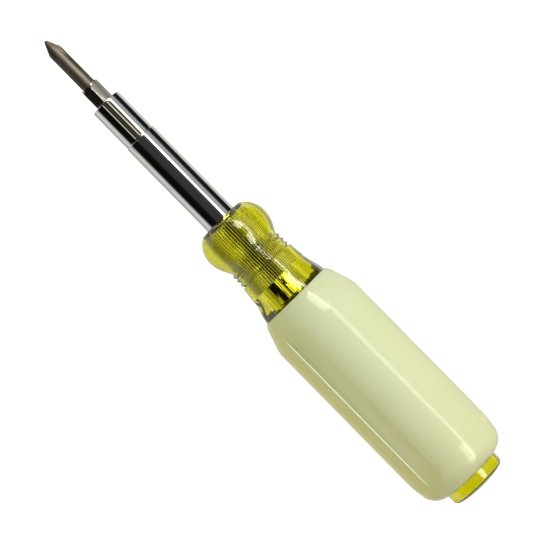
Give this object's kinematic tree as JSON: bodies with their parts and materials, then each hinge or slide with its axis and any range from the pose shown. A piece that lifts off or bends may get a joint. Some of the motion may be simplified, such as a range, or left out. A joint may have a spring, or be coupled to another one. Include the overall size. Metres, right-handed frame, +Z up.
{
  "type": "screwdriver",
  "caption": "Reversible-shaft screwdriver: amber handle with a cushion sleeve, pull-out plated shaft and double-ended hexagon bits with a cross point and a flat blade.",
  "frame": {"origin": "the centre of the bounding box in plan, on the surface that the screwdriver lies on", "axes": "+X along the shaft towards the working tip, +Z up with the screwdriver lying on one flat of its sleeve, +Y across it"},
  "size_m": [0.198, 0.0332, 0.0326],
  "materials": {
    "amber": "clear polished amber",
    "cushion": "soft matt cream",
    "plated": "bright plated",
    "bit_steel": "satin grey",
    "spring_steel": "drawn wire"
  },
  "bodies": {
    "handle": {"handle_core": "amber", "grip_sleeve": "cushion"},
    "shaft": {"shaft_tube": "plated", "drive_collar": "plated", "nose_socket": "plated", "tail_socket": "plated", "front_snap_ring": "spring_steel", "rear_snap_ring": "spring_steel"},
    "front_bit": {"front_bit": "bit_steel"},
    "rear_bit": {"rear_bit": "bit_steel"}
  },
  "joints": [
    {"name": "shaft_slide", "type": "slide", "parent": "handle", "child": "shaft", "axis": [1, 0, 0], "range_m": [0, 0.16]},
    {"name": "front_bit_slide", "type": "slide", "parent": "shaft", "child": "front_bit", "axis": [1, 0, 0], "range_m": [0, 0.04], "deforming": ["front_snap_ring"]},
    {"name": "rear_bit_slide", "type": "slide", "parent": "shaft", "child": "rear_bit", "axis": [-1, 0, 0], "range_m": [0, 0.04], "deforming": ["rear_snap_ring"]}
  ],
  "couplings": [
    {"joint": "rear_bit_slide", "follows": "shaft_slide", "ratio": 0.25}
  ]
}
